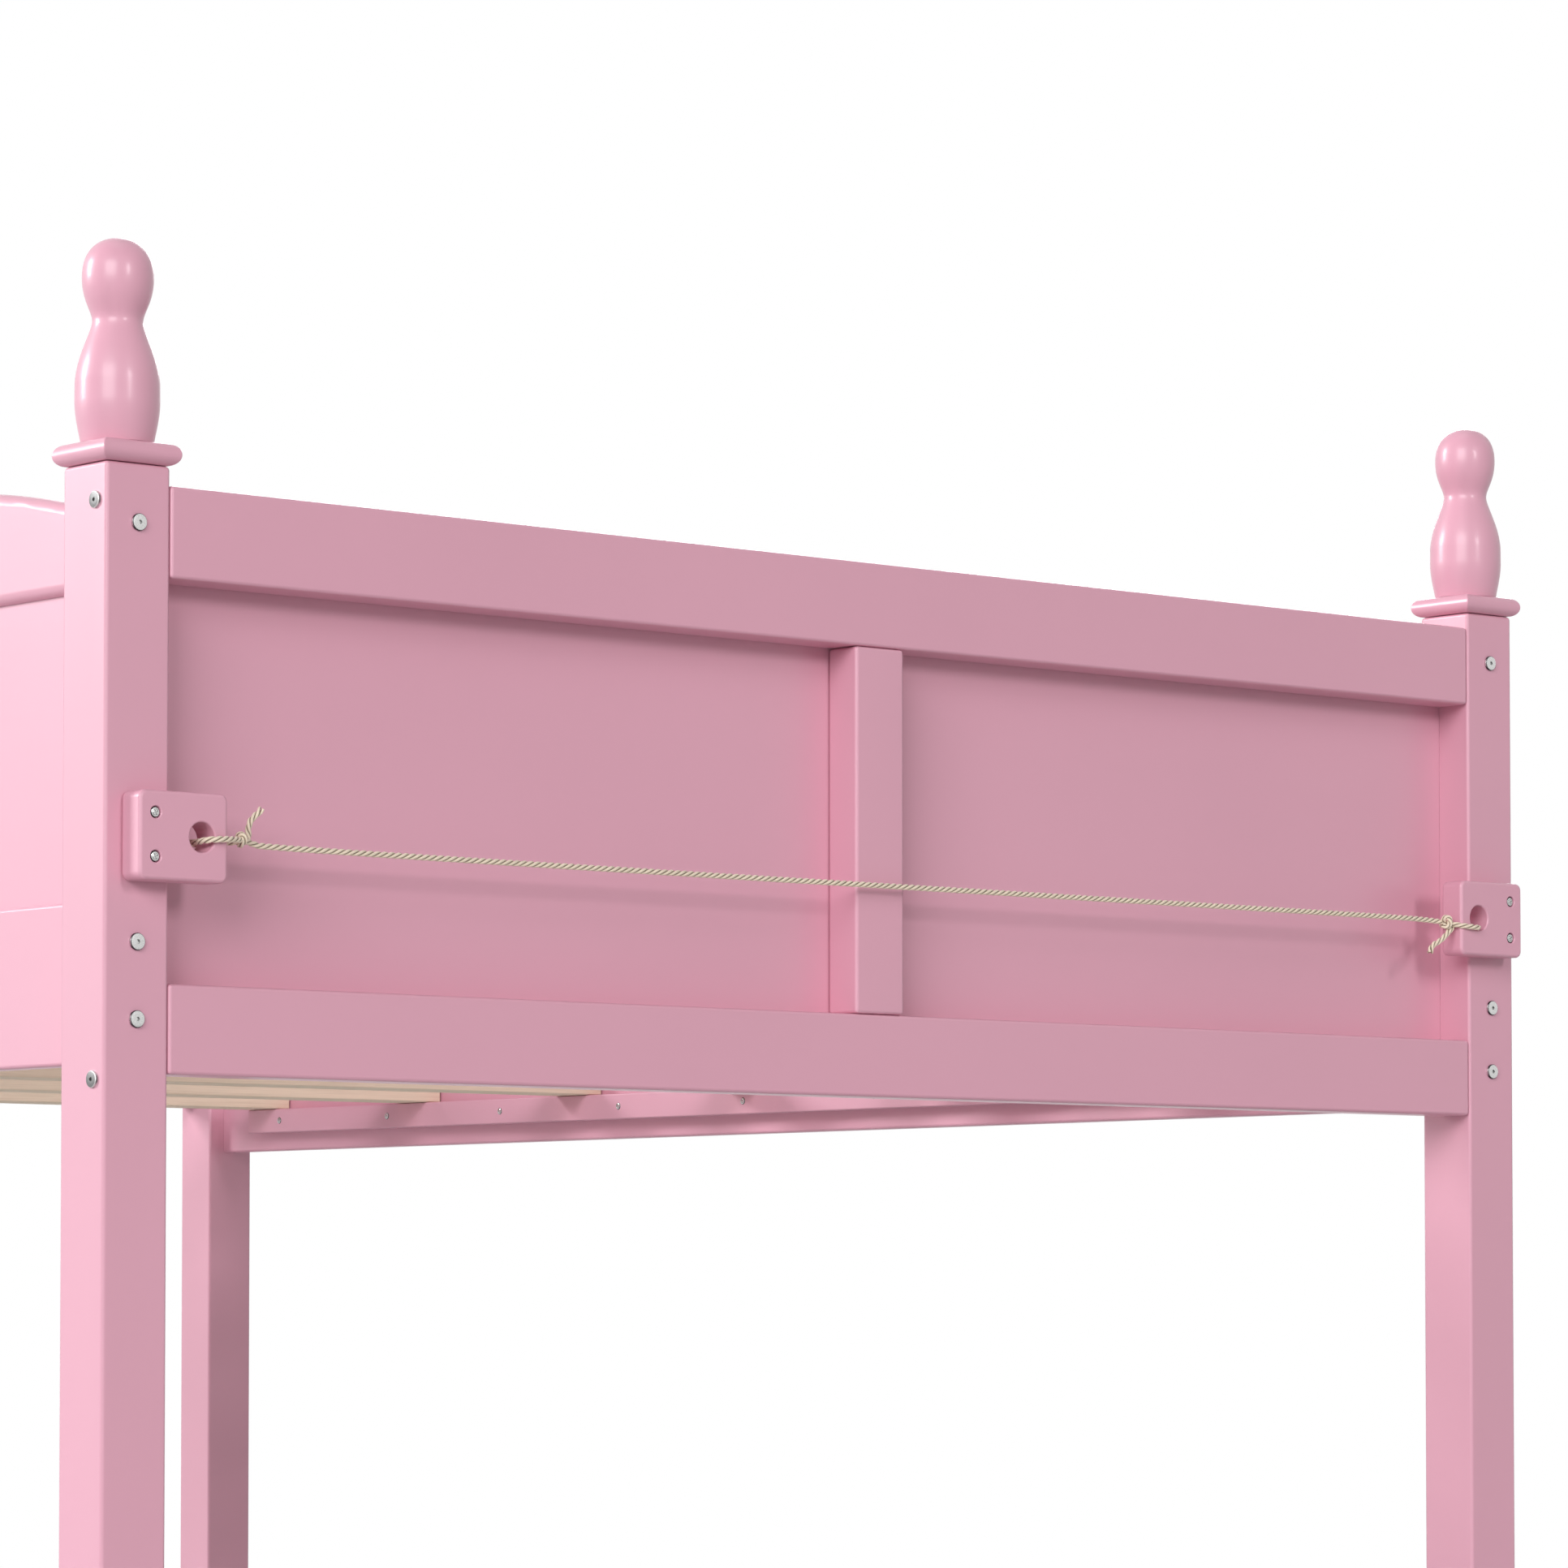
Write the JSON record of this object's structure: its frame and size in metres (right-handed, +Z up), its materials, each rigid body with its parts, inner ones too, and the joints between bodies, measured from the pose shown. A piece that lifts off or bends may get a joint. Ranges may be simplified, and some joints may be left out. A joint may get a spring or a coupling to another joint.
{
  "type": "low loft bed",
  "caption": "Low loft bed in painted wood with turned post finials, panelled guards, bare slats, a hook-on ladder and a rope line across one end.",
  "frame": {"origin": "on the floor, under the middle of the bed's outline with its ladder and rope blocks", "axes": "+X across the bed to its right side, +Y along the bed from the rope end to the far end, +Z up"},
  "size_m": [1.5626, 2.0407, 1.3613],
  "materials": {
    "paint": "pink satin paint on wood",
    "slat_wood": "bare planed softwood",
    "steel": "zinc-plated fasteners",
    "rope": "twisted natural rope"
  },
  "bodies": {
    "root": {"post_near_left": "paint", "post_cap_near_left": "paint", "finial_near_left": "paint", "post_near_right": "paint", "post_cap_near_right": "paint", "finial_near_right": "paint", "post_far_right": "paint", "post_cap_far_right": "paint", "finial_far_right": "paint", "post_far_left": "paint", "post_cap_far_left": "paint", "finial_far_left": "paint", "end_top_rail_near": "paint", "end_low_rail_near": "paint", "end_stile_near": "paint", "end_panel_near": "paint", "end_top_rail_far": "paint", "end_low_rail_far": "paint", "end_stile_far": "paint", "end_panel_far": "paint", "side_rail_left": "paint", "side_panel_left": "paint", "arched_rail_left": "paint", "slat_bearer_left": "paint", "side_rail_right": "paint", "side_panel_right": "paint", "arched_rail_right": "paint", "slat_bearer_right": "paint", "guard_end_stile": "paint", "slat_1": "slat_wood", "slat_2": "slat_wood", "slat_3": "slat_wood", "slat_4": "slat_wood", "slat_5": "slat_wood", "slat_6": "slat_wood", "slat_7": "slat_wood", "ladder_stile_near": "paint", "ladder_stile_far": "paint", "ladder_tread_1": "paint", "ladder_tread_2": "paint", "ladder_tread_3": "paint", "rope_block_left": "paint", "rope_block_right": "paint", "rope_line": "rope", "rope_loop_left": "rope", "rope_loop_right": "rope", "rope_knot_left": "rope", "rope_knot_right": "rope", "rail_bolt_low_near_left": "steel", "rail_bolt_mid_near_left": "steel", "rail_bolt_top_near_left": "steel", "rail_bolt_low_near_right": "steel", "rail_bolt_mid_near_right": "steel", "rail_bolt_top_near_right": "steel", "rail_bolt_low_far_right": "steel", "rail_bolt_mid_far_right": "steel", "rail_bolt_top_far_right": "steel", "rail_bolt_low_far_left": "steel", "rail_bolt_mid_far_left": "steel"}
  },
  "joints": []
}
